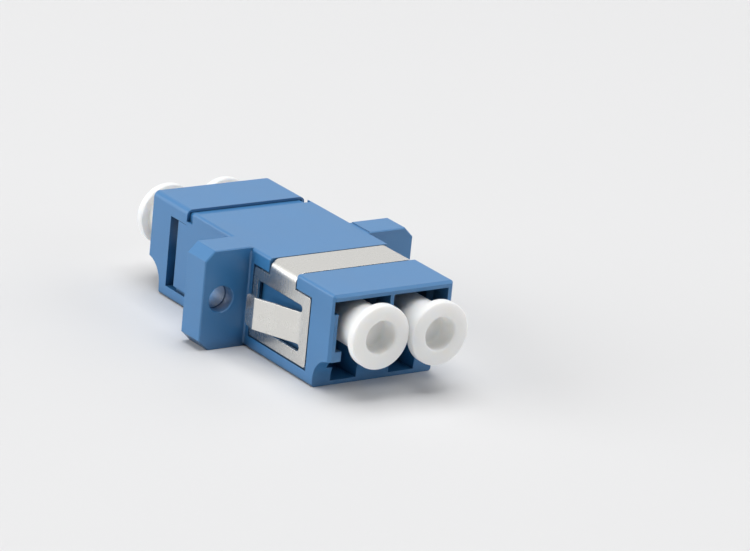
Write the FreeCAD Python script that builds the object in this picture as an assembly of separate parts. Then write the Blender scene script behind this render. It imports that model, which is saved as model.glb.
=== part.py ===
import FreeCAD, Part
import math
import os

# Duplex LC fibre adapter with a screw flange, for a rectangular panel cut-out.
# Millimetres. X runs across the two ports, Y along the fibres with the front ports at -Y,
# Z up. The origin is on the underside, below the middle of the flange.

# ---------------------------------------------------------------- ports
PORT_PITCH = 6.25             # between the two fibre axes
PORT_AXIS_HEIGHT = 6.0        # fibre axes above the underside
PORT_GUIDE = 4.65             # square that guides the plug
LEAD_IN_DEPTH = 2.2           # the port is wider than the guide over this depth
LEAD_IN_SIDE = 0.4            # how much wider, on each side
LEAD_IN_CHAMFER = 0.5         # slope from the lead-in down to the guide
LEAD_IN_LOW = 4.05            # the lead-in widens the port above this height only
TOP_REBATE_FLOOR = 7.6        # the widest part of the mouth lies above this height
LATCH_SLOT_WIDTH = 2.75       # slot below each port for the plug's latch
LATCH_ROOM_WIDTH = 4.1        # wider room for the latch's shoulders, before and behind the catch
LATCH_ROOM_LOW = 1.75         # underside of that room, before the catch
LATCH_ROOM_DEPTH = 3.2        # its depth before the catch, from the port's face
LATCH_CATCH = 2.1             # length of the catch
LATCH_FLOOR = 0.4             # wall that closes the latch slots below

# ---------------------------------------------------------------- housing
BODY_WIDTH = 12.9
BODY_HEIGHT = 9.4
FRONT_LENGTH = 15.15          # from the flange's middle to the front port face
REAR_LENGTH = 15.6            # from the flange's middle to the rear port face
SIDE_WALL = 0.975             # from the body's side to the ports' guide
TOP_WALL = 0.6
MOUTH_WALL = 0.19             # left wall beside the widest part of the mouth
BODY_EDGE_RADIUS = 0.3        # long edges of the body
FACE_EDGE_CHAMFER = 0.25      # outer edges of the port faces
COVE_HEIGHT = 3.1             # the hollow cut from the lower edge of each port face
COVE_DEPTH = 2.28
COVE_FOOT = 0.8               # its lowest part is upright up to this height

# ---------------------------------------------------------------- flange
FLANGE_THICKNESS = 3.1
EAR_RISE = 0.1                # the ears stand this far above the body's top
FLANGE_CHAMFER = 0.95         # at the four outer corners
FLANGE_EDGE_CHAMFER = 0.1     # along the rims of the ears
FLANGE_ROOT_RADIUS = 0.2      # fillet between the flange and the body's sides
SCREW_PITCH = 18.6
EAR_MARGIN = 2.0              # from each screw hole's axis to the ear's end
SCREW_HEIGHT = 4.8
SCREW_HOLE = 2.35
SCREW_MOUTH = 2.5             # wider front part of each hole
SCREW_MOUTH_DEPTH = 1.25
SCREW_RIM_CHAMFER = 0.08

# ---------------------------------------------------------------- seat of the rear housing
FLOOR_PLATE = 1.1             # thickness of the rear housing's floor plate
FLOOR_TONGUE = 0.4            # how far that plate's front end sits in the flange
FLOOR_GROOVE = 0.42           # height of the groove above that plate
SPIGOT_START = 8.5            # behind here the main housing's sides are stepped in
SPIGOT_END = 13.0
SPIGOT_SIDE_STEP = 0.35
SPIGOT_TOP_STEP = 0.3
TOP_STEP_LEAD = 0.55          # the top is stepped down this far ahead of the sides
COLLAR_GROOVE = 1.0           # open groove between the body and the collar
COLLAR_EDGE_RADIUS = 0.55
KEY_END = 10.85               # rear end of the side keys
KEY_TOP = 7.95
KEY_ROOT_TOP = 8.3
WINDOW_END = 12.2             # rear end of the collar's side windows
SNAP_WIDTH = 6.0              # rib that locks the two housings together
SNAP_LENGTH = 0.6
SNAP_HEIGHT = 0.12
SNAP_START = 11.4
SEAT_GAP = 0.03               # clearance between a piece and its seat

# ---------------------------------------------------------------- sleeves and their holders
SLEEVE_BORE = 1.25
SLEEVE_WALL = 0.185
SLEEVE_LENGTH = 6.8
SLEEVE_SLIT = 0.25
SLEEVE_PLAY = 0.06            # room round the sleeve, so that it can open
SLEEVE_END_PLAY = 0.15
HOLDER_PLATE = 0.9            # thickness of each holder's plate
HOLDER_BARREL = 2.9
HOLDER_LIP = 0.6              # end wall that keeps the sleeve in
HOLDER_MOUTH = 1.45           # hole in that wall for the ferrule
HOLDER_MOUTH_CHAMFER = 0.3
WEB = 1.0                     # housing wall that the holders bear on
BARREL_CLEARANCE = 0.05
HOLDER_MARGIN = 0.1           # holder's plate inside the housing

# ---------------------------------------------------------------- spring clip
SHEET = 0.25
CLIP_BEND_RADIUS = 0.7        # inside radius over the body's top edges
BAND_FRONT = -8.95
BAND_REAR = -4.8
PLATE_FRONT = -11.5
PLATE_REAR = -2.3
PLATE_BOTTOM = 1.32
PLATE_TOP = 7.9
PLATE_CORNER = 0.3
CLIP_MARGIN = 0.18            # gap between the clip's edges and its recess
TAB_HEIGHT = 2.98
TAB_MID_HEIGHT = 4.65
TAB_SLOT = 0.7                # slots above and below the tab
TAB_SLOT_END = -10.35         # rounded front end of both slots
TAB_BEND = -10.0              # the tab leans outwards from here
TAB_FLARE_REACH = 4.5
TAB_FLARE_OUT = 1.87
TAB_ROOT_RADIUS = 1.5
TAB_LIP = 1.6                 # the tab's end, bent back towards the body
TAB_LIP_TURN = 29.0           # degrees
TAB_LIP_RADIUS = 0.4          # inside radius of that bend
TAB_LIP_CORNER = 0.5
WINDOW_REAR_STRIP = 0.7       # strip of the plate behind the tab's window
TAB_POCKET = 0.35             # extra depth behind the window, where the tab can bend in
TAB_POCKET_MARGIN = 0.25      # that pocket's margin round the window

# ---------------------------------------------------------------- dust caps
CAP_FLANGE = 6.0
CAP_FLANGE_THICKNESS = 0.9
CAP_RIM_CHAMFER = 0.15        # outer edge; the flange's rear edge is the mould's parting edge
CAP_STAND_OFF = 2.97          # from the port face to the cap's outer face
CAP_DRAWN_OUT = 0.35          # the right front cap isn't pushed quite home
CAP_BARREL = 4.35             # at the flange
CAP_BARREL_TIP = 4.2
CAP_INSERTION = 8.0           # length inside the port
CAP_TIP_CHAMFER = 0.35
CAP_RECESS = 3.1
CAP_RECESS_DEPTH = 1.9
CAP_BORE = 3.0                # hollow at the inner end
CAP_WEB = 1.2                 # wall between the recess and the hollow

# ---------------------------------------------------------------- derived sizes
HALF_WIDTH = BODY_WIDTH / 2
FLANGE_WIDTH = SCREW_PITCH + 2 * EAR_MARGIN
HALF_FLANGE = FLANGE_THICKNESS / 2
PORT_X = PORT_PITCH / 2
INNER_HALF_WIDTH = HALF_WIDTH - SIDE_WALL
CEILING = BODY_HEIGHT - TOP_WALL
SPIGOT_HALF_WIDTH = HALF_WIDTH - SPIGOT_SIDE_STEP
SPIGOT_TOP = BODY_HEIGHT - SPIGOT_TOP_STEP
COLLAR_FRONT = SPIGOT_START + COLLAR_GROOVE
FLOOR_PLATE_FRONT = HALF_FLANGE - FLOOR_TONGUE
KEY_BOTTOM = FLOOR_PLATE + FLOOR_GROOVE
PORT_END = HOLDER_PLATE + WEB         # inner end of each port
CAP_PLAY = (PORT_GUIDE - CAP_BARREL) / 2 - SEAT_GAP       # room on each side of a centred cap
SLEEVE_OUTSIDE = SLEEVE_BORE + 2 * SLEEVE_WALL
SLEEVE_CHAMBER = SLEEVE_LENGTH / 2 + SLEEVE_END_PLAY

X_AXIS = FreeCAD.Vector(1, 0, 0)
Y_AXIS = FreeCAD.Vector(0, 1, 0)
Z_AXIS = FreeCAD.Vector(0, 0, 1)
ORIGIN = FreeCAD.Vector(0, 0, 0)

SAME_LENGTH = 1e-4            # two lengths that differ by less are the same
SAME_DIRECTION = 1e-3         # sine of the angle between two directions that are the same


# ================================================================ helpers
def block(x, y, z):
    """Block between a pair of limits along each axis."""
    corner = FreeCAD.Vector(x[0], y[0], z[0])
    return Part.makeBox(x[1] - x[0], y[1] - y[0], z[1] - z[0], corner)


def across(half_width, y, z):
    """Block that is centred on the middle plane."""
    return block((-half_width, half_width), y, z)


def rod(x, z, diameter, y):
    """Round bar along Y, between a pair of limits."""
    return Part.makeCylinder(diameter / 2, y[1] - y[0], FreeCAD.Vector(x, y[0], z), Y_AXIS)


def left_and_right(shape):
    """The shape and its mirror image across the middle plane."""
    return [shape, shape.mirror(ORIGIN, X_AXIS)]


def front_and_rear(shape):
    """The shape and its mirror image across the flange's middle plane."""
    return [shape, shape.mirror(ORIGIN, Y_AXIS)]


def joined(shapes):
    """One solid from solids that touch or overlap."""
    return shapes[0].fuse(shapes[1:]).removeSplitter()


def on_xz(y):
    """Placing rule for outlines drawn across the body."""
    return lambda u, v: FreeCAD.Vector(u, y, v)


def on_yz(x):
    """Placing rule for outlines drawn on a side of the body."""
    return lambda u, v: FreeCAD.Vector(x, u, v)


def on_xy(z):
    """Placing rule for outlines drawn in plan."""
    return lambda u, v: FreeCAD.Vector(u, v, z)


def rounded_face(corners, place):
    """Flat face inside corners (u, v, radius), each rounded to its radius."""
    starts = []
    middles = []
    ends = []
    for index, (u, v, radius) in enumerate(corners):
        before = corners[index - 1]
        after = corners[(index + 1) % len(corners)]
        to_before = FreeCAD.Vector(before[0] - u, before[1] - v, 0).normalize()
        to_after = FreeCAD.Vector(after[0] - u, after[1] - v, 0).normalize()
        corner = FreeCAD.Vector(u, v, 0)
        if radius == 0:
            starts.append(corner)
            middles.append(None)
            ends.append(corner)
            continue
        half_angle = to_before.getAngle(to_after) / 2
        reach = radius / math.tan(half_angle)
        bisector = (to_before + to_after).normalize()
        centre = corner + bisector * (radius / math.sin(half_angle))
        starts.append(corner + to_before * reach)
        middles.append(centre - bisector * radius)
        ends.append(corner + to_after * reach)
    edges = []
    for index, middle in enumerate(middles):
        start = place(starts[index].x, starts[index].y)
        end = place(ends[index].x, ends[index].y)
        following = starts[(index + 1) % len(starts)]
        next_start = place(following.x, following.y)
        if middle is not None:
            edges.append(Part.Arc(start, place(middle.x, middle.y), end).toShape())
        if end.distanceToPoint(next_start) > SAME_LENGTH:
            edges.append(Part.LineSegment(end, next_start).toShape())
    return Part.Face(Part.Wire(edges))


def bent_sheet_corners(path, thickness):
    """Outline corners of a bent sheet.

    `path` lists (u, v, inside radius) along one face; the other face lies to its right.
    """
    near = []
    far = []
    points = [FreeCAD.Vector(u, v, 0) for u, v, _ in path]
    for index, point in enumerate(points):
        first = index == 0
        last = index == len(points) - 1
        arriving = (point - points[index - 1]).normalize() if not first else None
        leaving = (points[index + 1] - point).normalize() if not last else None
        arriving = arriving or leaving
        leaving = leaving or arriving
        right_before = FreeCAD.Vector(arriving.y, -arriving.x, 0)
        right_after = FreeCAD.Vector(leaving.y, -leaving.x, 0)
        shift = (right_before + right_after) * (thickness / (1 + right_before.dot(right_after)))
        inside_radius = path[index][2]
        turns_right = arriving.cross(leaving).z < 0
        near_radius = 0
        far_radius = 0
        if inside_radius:
            near_radius = inside_radius + (thickness if turns_right else 0)
            far_radius = inside_radius + (0 if turns_right else thickness)
        near.append((point.x, point.y, near_radius))
        far.append((point.x + shift.x, point.y + shift.y, far_radius))
    return near + far[::-1]


def edges_along(shape, direction, test):
    """Straight edges parallel to `direction` whose middle point passes `test`."""
    found = []
    for edge in shape.Edges:
        if not isinstance(edge.Curve, (Part.Line, Part.LineSegment)):
            continue
        tangent = edge.tangentAt(edge.FirstParameter)
        if tangent.cross(direction).Length < SAME_DIRECTION and test(edge.CenterOfMass):
            found.append(edge)
    return found


def near(value, target):
    """True for two lengths that are the same."""
    return abs(value - target) < SAME_LENGTH


# ================================================================ port and cove, used at both ends
def cove_cutter(face_distance):
    """The hollow below a front port face, across the whole body."""
    face = -face_distance
    foot = face + COVE_DEPTH
    rise = COVE_HEIGHT - COVE_FOOT
    radius = (COVE_DEPTH ** 2 + rise ** 2) / (2 * COVE_DEPTH)
    centre_y = foot - radius
    half_sweep = math.asin(rise / radius) / 2
    middle_y = centre_y + radius * math.cos(half_sweep)
    middle_z = COVE_FOOT + radius * math.sin(half_sweep)
    place = on_yz(-FLANGE_WIDTH / 2)
    outside = face - COVE_DEPTH
    below = -COVE_FOOT
    arc = Part.Arc(place(face, COVE_HEIGHT), place(middle_y, middle_z), place(foot, COVE_FOOT))
    lines = [
        (foot, COVE_FOOT), (foot, below), (outside, below),
        (outside, COVE_HEIGHT), (face, COVE_HEIGHT)]
    edges = [arc.toShape()]
    for start, end in zip(lines, lines[1:]):
        edges.append(Part.LineSegment(place(*start), place(*end)).toShape())
    return Part.Face(Part.Wire(edges)).extrude(X_AXIS * FLANGE_WIDTH)


def port_cutter(face_distance):
    """The front left port: widened mouth, square guide, latch slot and rooms for the latch."""
    face = -face_distance
    end = -PORT_END
    half_guide = PORT_GUIDE / 2
    half_mouth = half_guide + LEAD_IN_SIDE
    guide_x = (-PORT_X - half_guide, -PORT_X + half_guide)
    mouth_x = (-PORT_X - half_mouth, -PORT_X + half_mouth)
    guide_z = (PORT_AXIS_HEIGHT - half_guide, PORT_AXIS_HEIGHT + half_guide)
    mouth_end = face + LEAD_IN_DEPTH
    catch_start = face + LATCH_ROOM_DEPTH
    catch_end = catch_start + LATCH_CATCH
    guide = block(guide_x, (mouth_end, end), guide_z)
    mouth = block(mouth_x, (face, mouth_end), (LEAD_IN_LOW, CEILING))
    rebate_x = (-HALF_WIDTH + MOUTH_WALL, mouth_x[1])
    rebate = block(rebate_x, (face, mouth_end), (TOP_REBATE_FLOOR, CEILING))
    slope = lead_in_slope(mouth_x, guide_x, guide_z, mouth_end)
    slot_x = (-PORT_X - LATCH_SLOT_WIDTH / 2, -PORT_X + LATCH_SLOT_WIDTH / 2)
    slot = block(slot_x, (face, end), (LATCH_FLOOR, PORT_AXIS_HEIGHT))
    room_x = (-PORT_X - LATCH_ROOM_WIDTH / 2, -PORT_X + LATCH_ROOM_WIDTH / 2)
    front_room = block(room_x, (face, catch_start), (LATCH_ROOM_LOW, PORT_AXIS_HEIGHT))
    rear_room = block(room_x, (catch_end, end), (FLOOR_PLATE, PORT_AXIS_HEIGHT))
    return joined([guide, mouth, rebate, slope, slot, front_room, rear_room])


def port_cutters(face_distance):
    """Both front ports: the right one is the left one moved across, not mirrored."""
    left = port_cutter(face_distance)
    return [left, left.translated(X_AXIS * PORT_PITCH)]


def turned_to_rear(shapes):
    """The shapes turned half round about Z, so that each end looks the same from outside."""
    return [shape.rotated(ORIGIN, Z_AXIS, 180) for shape in shapes]


def lead_in_slope(mouth_x, guide_x, guide_z, mouth_end):
    """Sloping stretch from the widened mouth down to the square guide."""
    low = max(LEAD_IN_LOW, guide_z[0])
    wide = Part.makePolygon([
        FreeCAD.Vector(mouth_x[0], mouth_end, low),
        FreeCAD.Vector(mouth_x[1], mouth_end, low),
        FreeCAD.Vector(mouth_x[1], mouth_end, CEILING),
        FreeCAD.Vector(mouth_x[0], mouth_end, CEILING),
        FreeCAD.Vector(mouth_x[0], mouth_end, low)])
    far = mouth_end + LEAD_IN_CHAMFER
    narrow = Part.makePolygon([
        FreeCAD.Vector(guide_x[0], far, low),
        FreeCAD.Vector(guide_x[1], far, low),
        FreeCAD.Vector(guide_x[1], far, guide_z[1]),
        FreeCAD.Vector(guide_x[0], far, guide_z[1]),
        FreeCAD.Vector(guide_x[0], far, low)])
    return Part.makeLoft([wide, narrow], True, True)


def barrel_holes(y):
    """Clearance holes for the two holder barrels, through a web."""
    diameter = HOLDER_BARREL + 2 * BARREL_CLEARANCE
    return [rod(x, PORT_AXIS_HEIGHT, diameter, y) for x in (-PORT_X, PORT_X)]


# ================================================================ main housing
def flange_plate():
    """Plate with both ears, chamfered at its four outer corners and flush with the body between."""
    half = FLANGE_WIDTH / 2
    top = BODY_HEIGHT + EAR_RISE
    outline = [
        (-half, FLANGE_CHAMFER, 0), (-half + FLANGE_CHAMFER, 0, 0),
        (half - FLANGE_CHAMFER, 0, 0), (half, FLANGE_CHAMFER, 0),
        (half, top - FLANGE_CHAMFER, 0), (half - FLANGE_CHAMFER, top, 0),
        (-half + FLANGE_CHAMFER, top, 0), (-half, top - FLANGE_CHAMFER, 0)]
    plate = rounded_face(outline, on_xz(-HALF_FLANGE)).extrude(Y_AXIS * FLANGE_THICKNESS)
    plate = plate.cut(across(HALF_WIDTH, (-HALF_FLANGE, HALF_FLANGE), (BODY_HEIGHT, top)))
    rims = []
    for edge in plate.Edges:
        middle = edge.CenterOfMass
        in_plane = near(abs(middle.y), HALF_FLANGE)
        if in_plane and abs(middle.x) > HALF_WIDTH:
            rims.append(edge)
    return plate.makeChamfer(FLANGE_EDGE_CHAMFER, rims)


def screw_holes():
    """Stepped screw holes through both ears, slightly bevelled at each end."""
    cutters = []
    for x in (-SCREW_PITCH / 2, SCREW_PITCH / 2):
        front = -HALF_FLANGE
        rear = HALF_FLANGE
        wide = SCREW_MOUTH / 2
        narrow = SCREW_HOLE / 2
        bevel = SCREW_RIM_CHAMFER
        step = front + SCREW_MOUTH_DEPTH
        profile = [
            (0, front), (wide + bevel, front), (wide, front + bevel), (wide, step),
            (narrow, step), (narrow, rear - bevel), (narrow + bevel, rear), (0, rear), (0, front)]
        points = [FreeCAD.Vector(x + r, y, SCREW_HEIGHT) for r, y in profile]
        outline = Part.Face(Part.makePolygon(points))
        cutters.append(outline.revolve(FreeCAD.Vector(x, 0, SCREW_HEIGHT), Y_AXIS, 360))
    return cutters


def body_bar(y):
    """Plain length of the body with its four long edges rounded."""
    radius = BODY_EDGE_RADIUS
    outline = [
        (-HALF_WIDTH, 0, radius), (HALF_WIDTH, 0, radius),
        (HALF_WIDTH, BODY_HEIGHT, radius), (-HALF_WIDTH, BODY_HEIGHT, radius)]
    return rounded_face(outline, on_xz(y[0])).extrude(Y_AXIS * (y[1] - y[0]))


def face_rim(shape, face_y):
    """Outer edges of a port face, above the cove."""
    rim = []
    for edge in shape.Edges:
        box = edge.BoundBox
        in_face = near(box.YMin, face_y) and near(box.YMax, face_y)
        straight_half = HALF_WIDTH - BODY_EDGE_RADIUS - SAME_LENGTH
        outside = box.XMax < -straight_half or box.XMin > straight_half
        outside = outside or near(box.ZMin, BODY_HEIGHT)
        if in_face and outside:
            rim.append(edge)
    return rim


def rear_shell():
    """Rear part of the main housing: open below, with a stepped and notched spigot and side keys."""
    shell = body_bar((HALF_FLANGE, SPIGOT_START))
    top_step = (SPIGOT_START - TOP_STEP_LEAD, SPIGOT_START)
    shell = shell.cut(across(SPIGOT_HALF_WIDTH, top_step, (SPIGOT_TOP, BODY_HEIGHT)))
    shell = shell.cut(across(FLANGE_WIDTH, (HALF_FLANGE, SPIGOT_START), (-FLOOR_PLATE, FLOOR_PLATE)))
    spigot = across(SPIGOT_HALF_WIDTH, (SPIGOT_START, SPIGOT_END), (FLOOR_PLATE, SPIGOT_TOP))
    corners = edges_along(spigot, Y_AXIS, lambda middle: near(middle.z, SPIGOT_TOP))
    spigot = spigot.makeFillet(BODY_EDGE_RADIUS, corners)
    keys = []
    for limits, top in (((SPIGOT_START, COLLAR_FRONT), KEY_ROOT_TOP), ((COLLAR_FRONT, KEY_END), KEY_TOP)):
        key = block((-HALF_WIDTH, -SPIGOT_HALF_WIDTH), limits, (KEY_BOTTOM, top - SEAT_GAP))
        keys += left_and_right(key)
    snap = across(SNAP_WIDTH / 2, (SNAP_START, SNAP_START + SNAP_LENGTH), (CEILING, SPIGOT_TOP + SNAP_HEIGHT))
    shell = joined([shell, spigot, snap] + keys)
    foot = block((-HALF_WIDTH, -SPIGOT_HALF_WIDTH), (HALF_FLANGE, SPIGOT_END), (FLOOR_PLATE, KEY_BOTTOM))
    notch = block((-SPIGOT_HALF_WIDTH, -INNER_HALF_WIDTH), (KEY_END, SPIGOT_END), (FLOOR_PLATE, KEY_TOP))
    return shell.cut(left_and_right(foot) + left_and_right(notch))


def clip_recess():
    """Shallow recess that the spring clip lies in, with a pocket behind each tab."""
    edge = CLIP_MARGIN
    band_y = (BAND_FRONT - edge, BAND_REAR + edge)
    top = across(HALF_WIDTH, band_y, (BODY_HEIGHT - SHEET, BODY_HEIGHT))
    side = block((-HALF_WIDTH, -HALF_WIDTH + SHEET), band_y, (PLATE_TOP, BODY_HEIGHT))
    plate_y = (PLATE_FRONT - edge, PLATE_REAR + edge)
    plate = block((-HALF_WIDTH, -HALF_WIDTH + SHEET), plate_y, (PLATE_BOTTOM - edge, PLATE_TOP + edge))
    margin = TAB_POCKET_MARGIN
    pocket_y = (TAB_SLOT_END - margin, PLATE_REAR - WINDOW_REAR_STRIP + margin)
    half_window = TAB_HEIGHT / 2 + TAB_SLOT
    pocket_z = (TAB_MID_HEIGHT - half_window - margin, TAB_MID_HEIGHT + half_window + margin)
    pocket = block((-HALF_WIDTH, -HALF_WIDTH + SHEET + TAB_POCKET), pocket_y, pocket_z)
    corner = bend_corner(band_y)
    sides = left_and_right(side) + left_and_right(plate) + left_and_right(pocket)
    return joined([top] + sides), left_and_right(corner)


def bend_corner(band_y):
    """What is cut off the body's top edge under the clip's bend."""
    low = BODY_HEIGHT - SHEET
    inner = -HALF_WIDTH + SHEET
    radius = CLIP_BEND_RADIUS
    square = block((inner, inner + radius), band_y, (low - radius, low))
    round_bar = rod(inner + radius, low - radius, 2 * radius, band_y)
    return square.cut(round_bar)


def root_fillets():
    """Fillets in the corners between the flange and the body's sides."""
    radius = FLANGE_ROOT_RADIUS
    fillets = []
    for face_y, way, low in ((-HALF_FLANGE, -1, BODY_EDGE_RADIUS), (HALF_FLANGE, 1, KEY_BOTTOM)):
        centre = FreeCAD.Vector(-HALF_WIDTH - radius, face_y + way * radius, low)
        height = BODY_HEIGHT - BODY_EDGE_RADIUS - low
        y_limits = sorted((face_y, centre.y))
        square = block((centre.x, -HALF_WIDTH), y_limits, (low, low + height))
        fillets += left_and_right(square.cut(Part.makeCylinder(radius, height, centre, Z_AXIS)))
    return fillets


def main_housing():
    """Front body, flange with ears, and the rear shell, moulded in one piece."""
    front = body_bar((-FRONT_LENGTH, HALF_FLANGE))
    front = front.cut(cove_cutter(FRONT_LENGTH))
    front = front.makeChamfer(FACE_EDGE_CHAMFER, face_rim(front, -FRONT_LENGTH))
    housing = joined([front, flange_plate(), rear_shell()] + root_fillets())
    recess, corners = clip_recess()
    housing = housing.cut([recess] + corners)
    housing = housing.cut(port_cutters(FRONT_LENGTH) + screw_holes())
    cavity = across(INNER_HALF_WIDTH, (-HOLDER_PLATE, SPIGOT_END), (FLOOR_PLATE, CEILING))
    tongue_seat = across(HALF_WIDTH, (FLOOR_PLATE_FRONT, HALF_FLANGE), (0, FLOOR_PLATE))
    housing = housing.cut([cavity, tongue_seat] + barrel_holes((-PORT_END, -HOLDER_PLATE)))
    return housing.removeSplitter()


# ================================================================ rear housing
def collar():
    """Outer sleeve of the rear housing, which slides over the main housing's spigot."""
    length = REAR_LENGTH - COLLAR_FRONT
    top_radius = COLLAR_EDGE_RADIUS
    low_radius = BODY_EDGE_RADIUS
    outline = [
        (-HALF_WIDTH, 0, low_radius), (HALF_WIDTH, 0, low_radius),
        (HALF_WIDTH, BODY_HEIGHT, top_radius), (-HALF_WIDTH, BODY_HEIGHT, top_radius)]
    outer = rounded_face(outline, on_xz(COLLAR_FRONT)).extrude(Y_AXIS * length)
    rear_top = edges_along(outer, X_AXIS, lambda middle: near(middle.y, REAR_LENGTH)
                           and near(middle.z, BODY_HEIGHT))
    return outer.makeChamfer(FACE_EDGE_CHAMFER, rear_top)


def rear_housing():
    """Collar, floor plate and the insert that forms the rear ports, moulded in one piece."""
    low_radius = BODY_EDGE_RADIUS
    plate_outline = [
        (-HALF_WIDTH, 0, low_radius), (HALF_WIDTH, 0, low_radius),
        (HALF_WIDTH, FLOOR_PLATE, 0), (-HALF_WIDTH, FLOOR_PLATE, 0)]
    plate_length = COLLAR_FRONT - FLOOR_PLATE_FRONT
    floor = rounded_face(plate_outline, on_xz(FLOOR_PLATE_FRONT)).extrude(Y_AXIS * plate_length)
    socket = across(
        SPIGOT_HALF_WIDTH + SEAT_GAP, (COLLAR_FRONT, SPIGOT_END + SEAT_GAP),
        (FLOOR_PLATE, SPIGOT_TOP + SEAT_GAP))
    snap_end = SNAP_START + SNAP_LENGTH + SEAT_GAP
    snap_groove = across(
        SNAP_WIDTH / 2 + SEAT_GAP, (SNAP_START - SEAT_GAP, snap_end),
        (SPIGOT_TOP, SPIGOT_TOP + SNAP_HEIGHT + SEAT_GAP))
    window = block((-HALF_WIDTH, -SPIGOT_HALF_WIDTH), (COLLAR_FRONT, WINDOW_END), (FLOOR_PLATE, KEY_TOP))
    sleeve = collar().cut([socket, snap_groove] + left_and_right(window))
    insert = across(
        INNER_HALF_WIDTH - SEAT_GAP, (HOLDER_PLATE, SPIGOT_END + SEAT_GAP),
        (FLOOR_PLATE, CEILING - SEAT_GAP))
    lock = block(
        (-SPIGOT_HALF_WIDTH - SEAT_GAP, -INNER_HALF_WIDTH + SEAT_GAP),
        (WINDOW_END, SPIGOT_END + SEAT_GAP), (FLOOR_PLATE, KEY_TOP - SEAT_GAP))
    housing = joined([sleeve, floor, insert] + left_and_right(lock))
    openings = turned_to_rear([cove_cutter(REAR_LENGTH)] + port_cutters(REAR_LENGTH))
    housing = housing.cut(openings + barrel_holes((HOLDER_PLATE, PORT_END)))
    return housing.removeSplitter()


# ================================================================ inside
def sleeve_holder():
    """Front holder: a plate across both ports with two hollow barrels."""
    low = FLOOR_PLATE + HOLDER_MARGIN
    high = CEILING - HOLDER_MARGIN
    plate = across(INNER_HALF_WIDTH - HOLDER_MARGIN, (-HOLDER_PLATE, 0), (low, high))
    tip = -SLEEVE_CHAMBER - HOLDER_LIP
    chamber = SLEEVE_OUTSIDE + 2 * SLEEVE_PLAY
    barrels = []
    hollows = []
    for x in (-PORT_X, PORT_X):
        barrels.append(rod(x, PORT_AXIS_HEIGHT, HOLDER_BARREL, (tip, 0)))
        hollows.append(rod(x, PORT_AXIS_HEIGHT, chamber, (-SLEEVE_CHAMBER, 0)))
        hollows.append(rod(x, PORT_AXIS_HEIGHT, HOLDER_MOUTH, (tip, 0)))
        wide = HOLDER_MOUTH / 2 + HOLDER_MOUTH_CHAMFER
        mouth = FreeCAD.Vector(x, tip, PORT_AXIS_HEIGHT)
        hollows.append(Part.makeCone(wide, HOLDER_MOUTH / 2, HOLDER_MOUTH_CHAMFER, mouth, Y_AXIS))
    return joined([plate] + barrels).cut(hollows)


def split_sleeve(x):
    """Slit ceramic tube that lines up the two ferrules of one fibre."""
    ends = (-SLEEVE_LENGTH / 2, SLEEVE_LENGTH / 2)
    outside = rod(x, PORT_AXIS_HEIGHT, SLEEVE_OUTSIDE, ends)
    inside = rod(x, PORT_AXIS_HEIGHT, SLEEVE_BORE, ends)
    slit_x = (x - SLEEVE_SLIT / 2, x + SLEEVE_SLIT / 2)
    slit = block(slit_x, ends, (PORT_AXIS_HEIGHT, PORT_AXIS_HEIGHT + SLEEVE_OUTSIDE))
    return outside.cut([inside, slit])


# ================================================================ spring clip
def clip_tab():
    """Tab of the left side plate: it leans outwards and its end is bent back a little."""
    face = -HALF_WIDTH
    lean = math.atan2(TAB_FLARE_OUT, TAB_FLARE_REACH)
    flare_end = (face - TAB_FLARE_OUT, TAB_BEND + TAB_FLARE_REACH)
    lip_lean = lean - math.radians(TAB_LIP_TURN)
    tip = (flare_end[0] - TAB_LIP * math.sin(lip_lean), flare_end[1] + TAB_LIP * math.cos(lip_lean))
    path = [
        (face, TAB_SLOT_END, 0), (face, TAB_BEND, TAB_ROOT_RADIUS),
        (flare_end[0], flare_end[1], TAB_LIP_RADIUS), (tip[0], tip[1], 0)]
    low = TAB_MID_HEIGHT - TAB_HEIGHT / 2
    tab = rounded_face(bent_sheet_corners(path, SHEET), on_xy(low)).extrude(Z_AXIS * TAB_HEIGHT)
    across_the_sheet = FreeCAD.Vector(math.cos(lip_lean), math.sin(lip_lean), 0)
    corners = edges_along(tab, across_the_sheet, lambda middle: near(
        (middle.x - tip[0]) * across_the_sheet.y, (middle.y - tip[1]) * across_the_sheet.x))
    return tab.makeFillet(TAB_LIP_CORNER, corners)


def clip_side_plate():
    """Left side plate with the window that the tab is cut from."""
    radius = PLATE_CORNER
    outline = [
        (PLATE_FRONT, PLATE_BOTTOM, radius), (PLATE_REAR, PLATE_BOTTOM, radius),
        (PLATE_REAR, PLATE_TOP, radius), (PLATE_FRONT, PLATE_TOP, radius)]
    plate = rounded_face(outline, on_yz(-HALF_WIDTH)).extrude(X_AXIS * SHEET)
    rear = PLATE_REAR - WINDOW_REAR_STRIP
    half_tab = TAB_HEIGHT / 2
    end_radius = TAB_SLOT / 2
    window = [
        (TAB_SLOT_END, TAB_MID_HEIGHT - half_tab - TAB_SLOT, end_radius),
        (rear, TAB_MID_HEIGHT - half_tab - TAB_SLOT, 0),
        (rear, TAB_MID_HEIGHT + half_tab + TAB_SLOT, 0),
        (TAB_SLOT_END, TAB_MID_HEIGHT + half_tab + TAB_SLOT, end_radius),
        (TAB_SLOT_END, TAB_MID_HEIGHT + half_tab, end_radius),
        (TAB_BEND, TAB_MID_HEIGHT + half_tab, 0),
        (TAB_BEND, TAB_MID_HEIGHT - half_tab, 0),
        (TAB_SLOT_END, TAB_MID_HEIGHT - half_tab, end_radius)]
    opening = rounded_face(window, on_yz(-HALF_WIDTH)).extrude(X_AXIS * SHEET)
    return plate.cut(opening)


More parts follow.
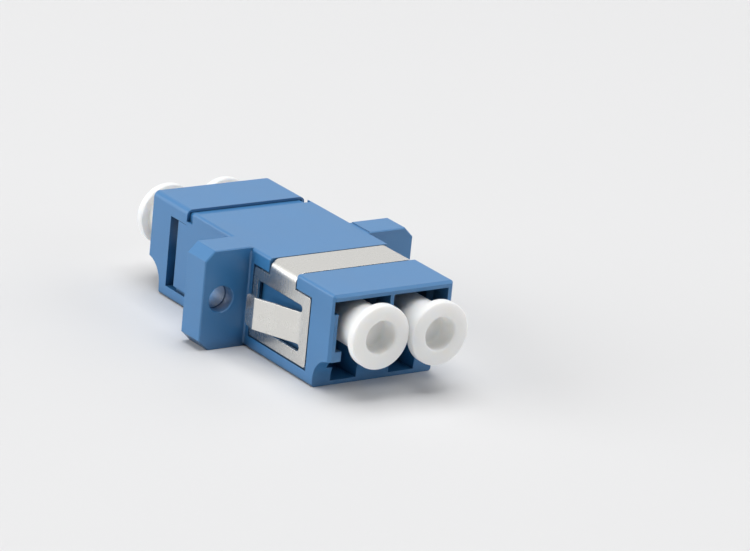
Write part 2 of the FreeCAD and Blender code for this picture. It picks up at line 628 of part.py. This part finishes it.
def spring_clip():
    """One folded sheet: band over the top, a neck and a plate down each side, two tabs."""
    outer = HALF_WIDTH
    neck_end = PLATE_TOP - PLATE_CORNER
    path = [
        (-outer, neck_end, 0), (-outer, BODY_HEIGHT, CLIP_BEND_RADIUS),
        (outer, BODY_HEIGHT, CLIP_BEND_RADIUS), (outer, neck_end, 0)]
    outline = bent_sheet_corners(path, SHEET)
    band = rounded_face(outline, on_xz(BAND_FRONT)).extrude(Y_AXIS * (BAND_REAR - BAND_FRONT))
    pieces = [band] + left_and_right(clip_side_plate()) + left_and_right(clip_tab())
    return joined(pieces)


# ================================================================ dust caps
def dust_cap(x, axis_height, outer_distance):
    """Front dust cap: flange with a blind recess, tapered barrel, hollow inner end."""
    outer_face = -outer_distance
    back = outer_face + CAP_FLANGE_THICKNESS
    inner_end = outer_face + CAP_STAND_OFF + CAP_INSERTION
    recess_floor = outer_face + CAP_RECESS_DEPTH
    bore_end = recess_floor + CAP_WEB
    rim = CAP_FLANGE / 2
    inner_rim = rim - CAP_RIM_CHAMFER
    tip = CAP_BARREL_TIP / 2
    outline = [
        (0, recess_floor, 0), (CAP_RECESS / 2, recess_floor, 0), (CAP_RECESS / 2, outer_face, 0),
        (inner_rim, outer_face, 0), (rim, outer_face + CAP_RIM_CHAMFER, 0),
        (rim, back, 0), (CAP_BARREL / 2, back, 0),
        (tip, inner_end - CAP_TIP_CHAMFER, 0), (tip - CAP_TIP_CHAMFER, inner_end, 0),
        (CAP_BORE / 2, inner_end, 0), (CAP_BORE / 2, bore_end, 0), (0, bore_end, 0)]
    profile = rounded_face(outline, on_xy(axis_height))
    profile.translate(X_AXIS * x)
    return profile.revolve(FreeCAD.Vector(x, 0, axis_height), Y_AXIS, 360)


def dust_caps():
    """The four caps by name; each rests against the top or the floor of its port's guide.

    The right front cap also leans against the side of its guide that is nearer the middle.
    """
    low = PORT_AXIS_HEIGHT - CAP_PLAY
    high = PORT_AXIS_HEIGHT + CAP_PLAY
    front = FRONT_LENGTH + CAP_STAND_OFF
    rear = REAR_LENGTH + CAP_STAND_OFF
    rear_caps = turned_to_rear([dust_cap(x, low, rear) for x in (PORT_X, -PORT_X)])
    return {
        "dust_cap_front_left": dust_cap(-PORT_X, high, front),
        "dust_cap_front_right": dust_cap(PORT_X - CAP_PLAY, low, front + CAP_DRAWN_OUT),
        "dust_cap_rear_left": rear_caps[0],
        "dust_cap_rear_right": rear_caps[1],
    }


# ================================================================ assembly
def build():
    """Every piece by its name."""
    holder_front, holder_rear = front_and_rear(sleeve_holder())
    parts = {
        "main_housing": main_housing(),
        "rear_housing": rear_housing(),
        "spring_clip": spring_clip(),
        "sleeve_holder_front": holder_front,
        "sleeve_holder_rear": holder_rear,
        "split_sleeve_left": split_sleeve(-PORT_X),
        "split_sleeve_right": split_sleeve(PORT_X),
    }
    parts.update(dust_caps())
    return parts


os.makedirs("parts", exist_ok=True)
for name, shape in build().items():
    shape.exportStep("parts/" + name + ".step")
    box = shape.BoundBox
    limits = [round(v, 2) for v in (box.XMin, box.YMin, box.ZMin, box.XMax, box.YMax, box.ZMax)]
    print(name, "solids", len(shape.Solids), "valid", shape.isValid(), "mm3", round(shape.Volume, 2), limits)
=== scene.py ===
"""Duplex LC fibre adapter: its finishes, its turned dust caps, the studio and the camera.

Lengths are in metres unless a name says otherwise. X runs across the two ports, Y along the
fibres with the clip's end at -Y, and Z points up. The adapter lies on its latch side.
"""

import logging
import math
from dataclasses import dataclass
from enum import Enum
from typing import Any, Sequence

import bmesh
import bpy
from mathutils import Matrix, Vector


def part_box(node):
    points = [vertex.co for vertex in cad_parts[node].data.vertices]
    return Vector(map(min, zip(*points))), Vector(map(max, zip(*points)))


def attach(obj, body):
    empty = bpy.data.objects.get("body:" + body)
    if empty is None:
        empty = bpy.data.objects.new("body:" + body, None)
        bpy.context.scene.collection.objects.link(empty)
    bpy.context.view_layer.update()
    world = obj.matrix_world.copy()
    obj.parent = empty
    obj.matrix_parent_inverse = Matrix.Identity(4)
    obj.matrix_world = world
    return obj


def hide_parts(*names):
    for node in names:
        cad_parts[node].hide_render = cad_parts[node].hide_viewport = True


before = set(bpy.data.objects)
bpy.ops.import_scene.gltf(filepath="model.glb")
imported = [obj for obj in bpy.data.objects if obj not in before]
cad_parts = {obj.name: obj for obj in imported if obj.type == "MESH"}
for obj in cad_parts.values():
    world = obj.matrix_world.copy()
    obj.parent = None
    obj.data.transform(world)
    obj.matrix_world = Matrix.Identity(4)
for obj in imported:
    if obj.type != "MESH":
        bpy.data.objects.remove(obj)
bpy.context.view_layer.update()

MM = 0.001
EDGE_SAMPLES = 6
# Samples of the ambient occlusion that paints shade into hollows.
PAINTED_SHADE_SAMPLES = 8
NOISE_MIDDLE = 0.5

Color = tuple[float, float, float]
Number = "Value | float"

log = logging.getLogger("adapter")


# ---------------------------------------------------------------- node writing
class Value:
    """One output of a node, ready for arithmetic with other outputs and with numbers."""

    def __init__(self, tree: bpy.types.NodeTree, socket: bpy.types.NodeSocket) -> None:
        """Keeps the tree and the output socket."""
        self.tree = tree
        self.socket = socket

    def _maths(self, operation: str, *terms: Number) -> "Value":
        """Adds one Math node.

        Args:
            operation: The Math node's operation.
            terms: Its inputs in order, each a number or another output.

        Returns:
            The node's result.
        """
        node = self.tree.nodes.new("ShaderNodeMath")
        node.operation = operation
        for socket, term in zip(node.inputs, terms):
            feed(self.tree, socket, term)
        return Value(self.tree, node.outputs[0])

    def __add__(self, other: Number) -> "Value":
        """This output plus another term."""
        return self._maths("ADD", self, other)

    def __radd__(self, other: Number) -> "Value":
        """A number plus this output."""
        return self._maths("ADD", other, self)

    def __sub__(self, other: Number) -> "Value":
        """This output minus another term."""
        return self._maths("SUBTRACT", self, other)

    def __mul__(self, other: Number) -> "Value":
        """This output times another term."""
        return self._maths("MULTIPLY", self, other)

    def __rmul__(self, other: Number) -> "Value":
        """A number times this output."""
        return self._maths("MULTIPLY", other, self)

    def __truediv__(self, other: Number) -> "Value":
        """This output divided by another term."""
        return self._maths("DIVIDE", self, other)

    def __mod__(self, other: Number) -> "Value":
        """What is left of this output after whole multiples of another term."""
        return self._maths("MODULO", self, other)

    def __gt__(self, other: Number) -> "Value":
        """One where this output is the larger, elsewhere zero."""
        return self._maths("GREATER_THAN", self, other)

    def floor(self) -> "Value":
        """The whole number below this output."""
        return self._maths("FLOOR", self)

    def cosine(self) -> "Value":
        """The cosine of this output, in radians."""
        return self._maths("COSINE", self)

    def sine(self) -> "Value":
        """The sine of this output, in radians."""
        return self._maths("SINE", self)

    def larger(self, other: Number) -> "Value":
        """The larger of this output and another term."""
        return self._maths("MAXIMUM", self, other)


def feed(tree: bpy.types.NodeTree, socket: bpy.types.NodeSocket, term: Any) -> None:
    """Links an output to an input, or sets the input's own value.

    Args:
        tree: The tree that holds both.
        socket: The input.
        term: A `Value`, or what the input's default is set to.
    """
    if isinstance(term, Value):
        tree.links.new(term.socket, socket)
    elif isinstance(term, tuple) and len(term) == 3 and socket.type == "RGBA":
        socket.default_value = (*term, 1.0)
    else:
        socket.default_value = term


def pick(sockets: Sequence[bpy.types.NodeSocket], key: str) -> bpy.types.NodeSocket:
    """The socket with that identifier or, failing that, with that name."""
    for socket in sockets:
        if socket.identifier == key:
            return socket
    return next(socket for socket in sockets if socket.name == key)


class NodeWriter:
    """Adds nodes to one tree."""

    def __init__(self, tree: bpy.types.NodeTree) -> None:
        """Keeps the tree that the nodes go into."""
        self.tree = tree

    def add(self, kind: str, output: str, inputs: dict[str, Any] | None = None,
            **settings: Any) -> Value:
        """Adds a node, sets it up and connects it.

        Args:
            kind: The node's type.
            output: Identifier or name of the output that is wanted.
            inputs: Values or links by the input's identifier or name.
            settings: Attributes of the node.

        Returns:
            The wanted output.
        """
        node = self.tree.nodes.new(kind)
        for name, setting in settings.items():
            setattr(node, name, setting)
        for key, term in (inputs or {}).items():
            feed(self.tree, pick(node.inputs, key), term)
        return Value(self.tree, pick(node.outputs, output))

    def other(self, value: Value, output: str) -> Value:
        """Another output of the node that a value comes from."""
        return Value(self.tree, pick(value.socket.node.outputs, output))

    def scaled_position(self, sizes: Sequence[float]) -> Value:
        """The point on the piece, with each axis measured in its own unit.

        Args:
            sizes: The length along X, Y and Z that counts as one.

        Returns:
            The scaled position.
        """
        position = self.add("ShaderNodeTexCoord", "Object")
        scale = tuple(1.0 / size for size in sizes)
        return self.add("ShaderNodeMapping", "Vector", {"Vector": position, "Scale": scale})

    def noise(self, sizes: Sequence[float], detail: float = 2.0, roughness: float = 0.5) -> Value:
        """Noise between 0 and 1 with the given grain size along each axis."""
        inputs = {"Vector": self.scaled_position(sizes), "Scale": 1.0, "Detail": detail,
                  "Roughness": roughness}
        return self.add("ShaderNodeTexNoise", "Fac", inputs, noise_dimensions="3D")

    def rounded_normal(self, radius: float) -> Value:
        """A normal that softens sharp edges over the given radius."""
        return self.add("ShaderNodeBevel", "Normal", {"Radius": radius}, samples=EDGE_SAMPLES)

    def blended_color(self, factor: Number, first: "Color | Value",
                      second: "Color | Value") -> Value:
        """A colour that goes from the first to the second as the factor goes from 0 to 1."""
        inputs = {"Factor_Float": factor, "A_Color": first, "B_Color": second}
        return self.add("ShaderNodeMix", "Result_Color", inputs, data_type="RGBA")


def new_material(name: str) -> tuple[bpy.types.Material, NodeWriter]:
    """An empty material and the writer of its nodes."""
    material = bpy.data.materials.new(name)
    material.use_nodes = True
    material.node_tree.nodes.clear()
    return material, NodeWriter(material.node_tree)


def close_surface(writer: NodeWriter, surface: Value,
                  kind: str = "ShaderNodeOutputMaterial") -> None:
    """Ends a material, or a world with its own kind of output node."""
    output = writer.tree.nodes.new(kind)
    writer.tree.links.new(surface.socket, output.inputs["Surface"])


def tinted(color: Color, factor: float) -> Color:
    """A colour made lighter or darker by a factor."""
    return tuple(min(1.0, channel * factor) for channel in color)


# ---------------------------------------------------------------- finishes
@dataclass(frozen=True)
class MouldedPlastic:
    """Injection-moulded thermoplastic with a fine texture, and painted shade that darkens its
    colour in hollows and gaps.
    """

    name: str
    color: Color
    roughness: float
    grain: float = 0.07 * MM
    grain_depth: float = 0.0012 * MM
    sink: float = 3.0 * MM
    sink_depth: float = 0.006 * MM
    sink_stretch: float = 2.5
    cloudiness: float = 0.05
    edge_radius: float = 0.06 * MM
    waxiness: float = 0.0
    scatter: float = 0.6 * MM
    scatter_balance: Color = (1.0, 0.9, 0.8)
    grain_gloss: float = 0.08
    sink_gloss: float = 0.06
    # hollow: reach of the painted shade, the ambient-occlusion distance within which enclosed
    # places get a darker colour.
    hollow: float = 0.0
    painted_shade_tone: float = 0.2
    painted_shade_slope: float = 1.7
    painted_shade_start: float = 0.2
    ior: float = 1.5

    def material(self) -> bpy.types.Material:
        """The finish as a material.

        Returns:
            A plastic with slow clouds in its colour, a grained skin and softened edges, and, where
            hollow is set, painted shade that darkens its colour in enclosed places.
        """
        material, writer = new_material(self.name)
        flow = writer.noise((self.sink, self.sink_stretch * self.sink, self.sink), detail=1.0)
        grain = writer.noise((self.grain,) * 3, detail=2.0, roughness=0.6)
        color = writer.blended_color(flow, tinted(self.color, 1 - self.cloudiness),
                                     tinted(self.color, 1 + self.cloudiness))
        # Painted shade: ambient occlusion blends the colour towards a dark tint in ports, crevices
        # and the gaps round the clip, standing in for shade.
        if self.hollow:
            painted_shade_openness = writer.add("ShaderNodeAmbientOcclusion", "AO", {"Distance": self.hollow},
                                  samples=PAINTED_SHADE_SAMPLES)
            color = writer.blended_color(self.painted_shade_slope * painted_shade_openness - self.painted_shade_start,
                                         tinted(self.color, self.painted_shade_tone), color)
        rounded = writer.rounded_normal(self.edge_radius)
        waved = writer.add("ShaderNodeBump", "Normal", {
            "Height": flow, "Distance": self.sink_depth, "Strength": 1.0, "Normal": rounded})
        normal = writer.add("ShaderNodeBump", "Normal", {
            "Height": grain, "Distance": self.grain_depth, "Strength": 1.0, "Normal": waved})
        surface = writer.add("ShaderNodeBsdfPrincipled", "BSDF", {
            "Base Color": color,
            "Roughness": (self.roughness + self.grain_gloss * (grain - NOISE_MIDDLE)
                          + self.sink_gloss * (flow - NOISE_MIDDLE)),
            "IOR": self.ior,
            "Subsurface Weight": self.waxiness,
            "Subsurface Radius": self.scatter_balance,
            "Subsurface Scale": self.scatter,
            "Normal": normal})
        close_surface(writer, surface)
        return material


@dataclass(frozen=True)
class RolledSteel:
    """Satin rolled spring sheet, with faint streaks over the top and down the sides."""

    name: str
    color: Color
    roughness: float
    streak_width: float = 0.05 * MM
    streak_length: float = 4.0 * MM
    streak_depth: float = 0.00006 * MM
    streak_gloss: float = 0.03
    stain: float = 1.6 * MM
    stain_gloss: float = 0.05
    tint: float = 0.02
    edge_radius: float = 0.05 * MM

    def material(self) -> bpy.types.Material:
        """The finish as a material.

        Returns:
            A metal with rolling streaks across Y and slight clouds in its gloss.
        """
        material, writer = new_material(self.name)
        streaks = writer.noise((self.streak_length, self.streak_width, self.streak_length),
                               detail=3.0)
        clouds = writer.noise((self.stain,) * 3, detail=3.0, roughness=0.6)
        color = writer.blended_color(0.5 * streaks + 0.5 * clouds,
                                     tinted(self.color, 1 - self.tint),
                                     tinted(self.color, 1 + self.tint))
        rounded = writer.rounded_normal(self.edge_radius)
        normal = writer.add("ShaderNodeBump", "Normal", {
            "Height": streaks, "Distance": self.streak_depth, "Strength": 1.0, "Normal": rounded})
        surface = writer.add("ShaderNodeBsdfPrincipled", "BSDF", {
            "Base Color": color,
            "Metallic": 1.0,
            "Roughness": (self.roughness + self.streak_gloss * (streaks - NOISE_MIDDLE)
                          + self.stain_gloss * (clouds - NOISE_MIDDLE)),
            "Normal": normal})
        close_surface(writer, surface)
        return material


@dataclass(frozen=True)
class GroundCeramic:
    """Ground zirconia with faint rings from the grinding wheel."""

    name: str
    color: Color
    roughness: float
    ring: float = 0.04 * MM
    ring_length: float = 2.0 * MM
    ring_depth: float = 0.0002 * MM
    ring_gloss: float = 0.06
    ring_tone: float = 0.97
    ior: float = 2.1

    def material(self) -> bpy.types.Material:
        """The finish as a material."""
        material, writer = new_material(self.name)
        rings = writer.noise((self.ring_length, self.ring, self.ring_length), detail=2.0)
        color = writer.blended_color(rings, tinted(self.color, self.ring_tone), self.color)
        normal = writer.add("ShaderNodeBump", "Normal", {
            "Height": rings, "Distance": self.ring_depth, "Strength": 1.0})
        surface = writer.add("ShaderNodeBsdfPrincipled", "BSDF", {
            "Base Color": color,
            "Roughness": self.roughness + self.ring_gloss * (rings - NOISE_MIDDLE),
            "IOR": self.ior,
            "Normal": normal})
        close_surface(writer, surface)
        return material


class Finish(Enum):
    """The finishes of the adapter's pieces, by the record's material slots."""

    # The blue housing carries painted shade: its colour darkens in hollows within 2.2 mm.
    BLUE_HOUSING = MouldedPlastic("blue_housing_plastic", (0.030, 0.178, 0.41), 0.38,
                                   hollow=2.2 * MM, ior=1.72)
    WHITE_CAP = MouldedPlastic("white_cap_plastic", (0.90, 0.90, 0.885), 0.42, grain=0.12 * MM,
                               grain_depth=0.0008 * MM, cloudiness=0.01, waxiness=1.0,
                               scatter=1.2 * MM)
    HOLDER_PLASTIC = MouldedPlastic("holder_plastic", (0.72, 0.72, 0.69), 0.4, cloudiness=0.02)
    CLIP_STEEL = RolledSteel("clip_steel_sheet", (0.67, 0.66, 0.63), 0.27)
    ZIRCONIA = GroundCeramic("ground_zirconia", (0.86, 0.86, 0.83), 0.22)

    @property
    def slot(self) -> str:
        """The record's name for this finish."""
        return self.name.lower()


def build_finishes() -> dict[Finish, bpy.types.Material]:
    """One material for each finish."""
    return {finish: finish.value.material() for finish in Finish}


# ---------------------------------------------------------------- outlines and turned pieces
Corner = tuple[float, float, float]


def rounded_outline(corners: Sequence[Corner], steps: int) -> list[tuple[float, float]]:
    """An open outline with its corners rounded.

    Args:
        corners: (radius from the axis, distance along it, rounding radius) in order.
        steps: Straight steps that each rounding is divided into.

    Returns:
        The outline's points.
    """
    points = []
    for index, (u, v, rounding) in enumerate(corners):
        corner = Vector((u, v))
        if rounding == 0 or index in (0, len(corners) - 1):
            points.append((u, v))
            continue
        before = (Vector(corners[index - 1][:2]) - corner).normalized()
        after = (Vector(corners[index + 1][:2]) - corner).normalized()
        half_angle = before.angle(after) / 2
        centre = corner + (before + after).normalized() * (rounding / math.sin(half_angle))
        start = corner + before * (rounding / math.tan(half_angle)) - centre
        end = corner + after * (rounding / math.tan(half_angle)) - centre
        for step in range(steps + 1):
            points.append(tuple(centre + rounding * start.slerp(end, step / steps)))
    return points


class Lathe:
    """Geometry nodes that turn an outline about an axis parallel to Y."""

    SEGMENTS = 128
    CREASE = math.radians(32)
    WELD = 1e-7

    def __init__(self) -> None:
        """Writes the node tree once; every turned piece shares it."""
        self.tree = bpy.data.node_groups.new("turned_piece", "GeometryNodeTree")
        face = self.tree.interface
        face.new_socket("Outline", in_out="INPUT", socket_type="NodeSocketGeometry")
        self.inputs = {}
        for name, kind in (("Segments", "NodeSocketInt"), ("Axis X", "NodeSocketFloat"),
                           ("Axis Z", "NodeSocketFloat"), ("Crease Angle", "NodeSocketFloat"),
                           ("Finish", "NodeSocketMaterial")):
            self.inputs[name] = face.new_socket(name, in_out="INPUT", socket_type=kind).identifier
        face.new_socket("Piece", in_out="OUTPUT", socket_type="NodeSocketGeometry")
        self._write()

    def _write(self) -> None:
        """Lays a grid over outline points and turns, welds its seam and poles, and dresses it."""
        writer = NodeWriter(self.tree)
        outline = writer.add("NodeGroupInput", "Outline")
        segments = writer.other(outline, "Segments")
        count = writer.add("GeometryNodeAttributeDomainSize", "Point Count", {"Geometry": outline},
                           component="MESH")
        grid = writer.add("GeometryNodeMeshGrid", "Mesh", {
            "Vertices X": count, "Vertices Y": segments + 1.0})
        index = writer.add("GeometryNodeInputIndex", "Index")
        along = (index / (segments + 1.0)).floor()
        turn = (index % (segments + 1.0)) * (2 * math.pi) / segments
        point = writer.add("GeometryNodeInputPosition", "Position")
        sampled = writer.add("GeometryNodeSampleIndex", "Value", {
            "Geometry": outline, "Value": point, "Index": along}, data_type="FLOAT_VECTOR",
            domain="POINT")
        radius = writer.add("ShaderNodeSeparateXYZ", "X", {"Vector": sampled})
        distance = writer.other(radius, "Y")
        place = writer.add("ShaderNodeCombineXYZ", "Vector", {
            "X": writer.other(outline, "Axis X") + radius * turn.cosine(),
            "Y": distance,
            "Z": writer.other(outline, "Axis Z") + radius * turn.sine()})
        shell = writer.add("GeometryNodeSetPosition", "Geometry", {
            "Geometry": grid, "Position": place})
        welded = writer.add("GeometryNodeMergeByDistance", "Geometry", {
            "Geometry": shell, "Distance": self.WELD})
        smooth = writer.add("GeometryNodeSetShadeSmooth", "Geometry", {
            "Geometry": welded, "Shade Smooth": True}, domain="FACE")
        angle = writer.add("GeometryNodeInputMeshEdgeAngle", "Unsigned Angle")
        creased = writer.add("GeometryNodeSetShadeSmooth", "Geometry", {
            "Geometry": smooth, "Selection": angle > writer.other(outline, "Crease Angle"),
            "Shade Smooth": False}, domain="EDGE")
        single = writer.add("GeometryNodeRealizeInstances", "Geometry", {"Geometry": creased})
        dressed = writer.add("GeometryNodeSetMaterial", "Geometry", {
            "Geometry": single, "Material": writer.other(outline, "Finish")})
        output = self.tree.nodes.new("NodeGroupOutput")
        self.tree.links.new(dressed.socket, output.inputs["Piece"])

    def turn(self, name: str, outline: Sequence[tuple[float, float]], axis: tuple[float, float],
             finish: bpy.types.Material) -> bpy.types.Object:
        """Turns one piece.

        Args:
            name: The new object's name.
            outline: (radius, Y) points from pole to pole.
            axis: X and Z of the axis.
            finish: The piece's material.

        Returns:
            A plain closed mesh object at the origin.
        """
        edges = [(i, i + 1) for i in range(len(outline) - 1)]
        profile = bpy.data.meshes.new(name + "_outline")
        profile.from_pydata([(radius, y, 0.0) for radius, y in outline], edges, [])
        holder = bpy.data.objects.new(name + "_outline", profile)
        bpy.context.scene.collection.objects.link(holder)
        modifier = holder.modifiers.new("turning", "NODES")
        modifier.node_group = self.tree
        values = {"Segments": self.SEGMENTS, "Axis X": axis[0], "Axis Z": axis[1],
                  "Crease Angle": self.CREASE, "Finish": finish}
        for key, value in values.items():
            modifier[self.inputs[key]] = value
        mesh = plain_mesh(holder, name)
        bpy.data.objects.remove(holder)
        piece = bpy.data.objects.new(name, mesh)
        bpy.context.scene.collection.objects.link(piece)
        return piece


def plain_mesh(piece: bpy.types.Object, name: str) -> bpy.types.Mesh:
    """The mesh that an object's modifiers make, with its faces pointing outwards.

    Args:
        piece: The object, whose modifiers are removed.
        name: The new mesh's name.

    Returns:
        The finished mesh.
    """
    evaluated = piece.evaluated_get(bpy.context.evaluated_depsgraph_get())
    mesh = bpy.data.meshes.new_from_object(evaluated)
    mesh.name = name
    piece.modifiers.clear()
    shell = bmesh.new()
    shell.from_mesh(mesh)
    bmesh.ops.recalc_face_normals(shell, faces=shell.faces)
    shell.to_mesh(mesh)
    shell.free()
    return mesh


# ---------------------------------------------------------------- dust caps
@dataclass
class DustCap:
    """Soft white plug for one port: flange with a blind recess, tapered barrel, hollow tip."""

    node: str
    flange_thickness: float = 0.9 * MM
    barrel: float = 4.35 * MM
    barrel_tip: float = 4.2 * MM
    recess: float = 3.1 * MM
    recess_depth: float = 1.9 * MM
    bore: float = 3.0 * MM
    web: float = 1.2 * MM
    rim_rounding: float = 0.16 * MM
    mouth_rounding: float = 0.20 * MM
    edge_rounding: float = 0.09 * MM
    floor_rounding: float = 0.28 * MM
    root_rounding: float = 0.22 * MM
    tip_rounding: float = 0.3 * MM
    steps: int = 5

    def outline(self, length: float, flange_radius: float) -> list[tuple[float, float]]:
        """The cap's section, from the recess round the outside to the hollow tip.

        Args:
            length: From the outer face to the tip.
            flange_radius: Half the flange's diameter.

        Returns:
            (radius, distance from the outer face) points.
        """
        bore_floor = self.recess_depth + self.web
        return rounded_outline([
            (0.0, self.recess_depth, 0.0),
            (self.recess / 2, self.recess_depth, self.floor_rounding),
            (self.recess / 2, 0.0, self.mouth_rounding),
            (flange_radius, 0.0, self.rim_rounding),
            (flange_radius, self.flange_thickness, self.edge_rounding / 2),
            (self.barrel / 2, self.flange_thickness, self.root_rounding),
            (self.barrel_tip / 2, length, self.tip_rounding),
            (self.bore / 2, length, self.edge_rounding),
            (self.bore / 2, bore_floor, self.floor_rounding),
            (0.0, bore_floor, 0.0)], self.steps)

    def build(self, lathe: Lathe, finish: bpy.types.Material) -> bpy.types.Object:
        """Turns the cap where its solid lies and lets it ride on its own body.

        Args:
            lathe: The node tree that turns it.
            finish: Its material.

        Returns:
            The finished cap.
        """
        low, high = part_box(self.node)
        faces_front = abs(low.y) > abs(high.y)
        outer_face = low.y if faces_front else high.y
        inward = 1.0 if faces_front else -1.0
        points = [(radius, outer_face + inward * distance)
                  for radius, distance in self.outline(high.y - low.y, (high.x - low.x) / 2)]
        axis = ((low.x + high.x) / 2, (low.z + high.z) / 2)
        cap = lathe.turn(self.node + "_turned", points, axis, finish)
        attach(cap, self.node)
        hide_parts(self.node)
        log.info("%s: %d faces", cap.name, len(cap.data.polygons))
        return cap


# ---------------------------------------------------------------- pieces that keep their solids
@dataclass
class DressedSolids:
    """Pieces whose solids already have the real shape and get their finish here."""

    finish: Finish
    nodes: tuple[str, ...]

    def build(self, material: bpy.types.Material) -> None:
        """Gives each solid its material."""
        for node in self.nodes:
            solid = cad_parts[node]
            for place in solid.material_slots:
                place.material = material
            log.info("%s: dressed in %s", node, material.name)


# ---------------------------------------------------------------- studio
@dataclass(frozen=True)
class SoftBox:
    """A rectangular lamp with a plain white cloth, turned towards the adapter."""

    name: str
    direction: tuple[float, float, float]
    distance: float
    width: float
    height: float
    radiance: float

    def build(self, target: Vector) -> bpy.types.Object:
        """Sets the lamp up.

        Args:
            target: The point that it faces.

        Returns:
            The lamp.
        """
        lamp = bpy.data.lights.new(self.name, "AREA")
        lamp.shape = "RECTANGLE"
        lamp.size = self.width
        lamp.size_y = self.height
        lamp.energy = math.pi * self.width * self.height * self.radiance
        towards = Vector(self.direction).normalized()
        item = bpy.data.objects.new(self.name, lamp)
        item.location = target + towards * self.distance
        item.rotation_mode = "QUATERNION"
        item.rotation_quaternion = towards.to_track_quat("Z", "Y")
        bpy.context.scene.collection.objects.link(item)
        return item


@dataclass
class Studio:
    """Pale floor, four soft boxes, a dim room and the camera."""

    floor_size: float = 6.0
    floor_drop: float = 0.01 * MM
    floor_color: Color = (0.74, 0.74, 0.745)
    floor_roughness: float = 0.6
    floor_gloss: float = 0.2
    backdrop: Color = (0.87, 0.87, 0.873)
    room: Color = (1.0, 1.0, 1.0)
    room_strength: float = 0.05
    lens_target: tuple[float, float, float] = (8.284 * MM, -0.39 * MM, 4.681 * MM)
    lens_distance: float = 420.3 * MM
    azimuth: float = -35.8
    elevation: float = 18.79
    roll: float = 5.73
    sensor: float = 36.0
    focal_length: float = 218.33
    nearest: float = 0.01
    farthest: float = 10.0
    boxes: tuple[SoftBox, ...] = (
        SoftBox("left_soft_box", (-1.0, 0.45, 0.3), 0.9, 0.80, 0.80, 3.3),
        SoftBox("top_soft_box", (0.0, 0.05, 1.0), 0.9, 0.80, 0.80, 3.8),
        SoftBox("right_soft_box", (1.0, -0.1, 0.5), 0.9, 0.60, 0.60, 1.6),
        SoftBox("front_soft_box", (0.5, -1.0, 0.45), 0.9, 0.60, 0.60, 1.25),
    )

    def build(self) -> None:
        """Builds the whole studio."""
        self._floor()
        self._room()
        for box in self.boxes:
            box.build(Vector((0.0, 0.0, 0.0)))
        self._camera()
        bpy.context.scene.view_settings.view_transform = "Standard"
        log.info("studio: floor, %d soft boxes and the camera", len(self.boxes))

    def _floor(self) -> None:
        """Lays the floor just below the adapter."""
        half = self.floor_size / 2
        mesh = bpy.data.meshes.new("floor")
        corners = [(-half, -half, -self.floor_drop), (half, -half, -self.floor_drop),
                   (half, half, -self.floor_drop), (-half, half, -self.floor_drop)]
        mesh.from_pydata(corners, [], [(0, 1, 2, 3)])
        floor = bpy.data.objects.new("floor", mesh)
        bpy.context.scene.collection.objects.link(floor)
        material, writer = new_material("pale_floor")
        surface = writer.add("ShaderNodeBsdfPrincipled", "BSDF", {
            "Base Color": self.floor_color, "Roughness": self.floor_roughness,
            "Specular IOR Level": self.floor_gloss})
        close_surface(writer, surface)
        mesh.materials.append(material)

    def _room(self) -> None:
        """A dim room that the lens and every gloss see as a pale backdrop."""
        world = bpy.data.worlds.new("room")
        bpy.context.scene.world = world
        world.use_nodes = True
        world.node_tree.nodes.clear()
        writer = NodeWriter(world.node_tree)
        camera_ray = writer.add("ShaderNodeLightPath", "Is Camera Ray")
        seen = camera_ray.larger(writer.other(camera_ray, "Is Glossy Ray")).larger(
            writer.other(camera_ray, "Is Transmission Ray"))
        dim = writer.add("ShaderNodeBackground", "Background", {
            "Color": self.room, "Strength": self.room_strength})
        pale = writer.add("ShaderNodeBackground", "Background", {
            "Color": self.backdrop, "Strength": 1.0})
        mixed = writer.add("ShaderNodeMixShader", "Shader", {
            "Fac": seen, "Shader": dim, "Shader_001": pale})
        close_surface(writer, mixed, "ShaderNodeOutputWorld")

    def _camera(self) -> None:
        """Aims a long lens at the adapter."""
        across = math.radians(self.azimuth)
        rise = math.radians(self.elevation)
        turn = math.radians(self.roll)
        right = Vector((math.cos(across), math.sin(across), 0.0))
        back = Vector((math.sin(across) * math.cos(rise), -math.cos(across) * math.cos(rise),
                       math.sin(rise)))
        up = back.cross(right)
        camera_x = math.cos(turn) * right + math.sin(turn) * up
        camera_y = math.cos(turn) * up - math.sin(turn) * right
        lens = bpy.data.cameras.new("camera")
        lens.sensor_width = self.sensor
        lens.lens = self.focal_length
        lens.clip_start = self.nearest
        lens.clip_end = self.farthest
        camera = bpy.data.objects.new("camera", lens)
        bpy.context.scene.collection.objects.link(camera)
        turned = Matrix((camera_x, camera_y, back)).transposed().to_4x4()
        camera.matrix_world = Matrix.Translation(
            Vector(self.lens_target) + back * self.lens_distance) @ turned
        bpy.context.scene.camera = camera


# ---------------------------------------------------------------- assembly
CAP_NODES = ("dust_cap_front_left", "dust_cap_front_right",
             "dust_cap_rear_left", "dust_cap_rear_right")

SOLIDS = (
    DressedSolids(Finish.BLUE_HOUSING, ("main_housing", "rear_housing")),
    DressedSolids(Finish.CLIP_STEEL, ("spring_clip",)),
    DressedSolids(Finish.HOLDER_PLASTIC, ("sleeve_holder_front", "sleeve_holder_rear")),
    DressedSolids(Finish.ZIRCONIA, ("split_sleeve_left", "split_sleeve_right")),
)


def main() -> None:
    """Dresses the solids, turns the dust caps and sets up the studio."""
    logging.basicConfig(level=logging.INFO, format="%(name)s: %(message)s")
    materials = build_finishes()
    for solids in SOLIDS:
        solids.build(materials[solids.finish])
    lathe = Lathe()
    for node in CAP_NODES:
        DustCap(node).build(lathe, materials[Finish.WHITE_CAP])
    Studio().build()


if __name__ == "__main__":
    main()
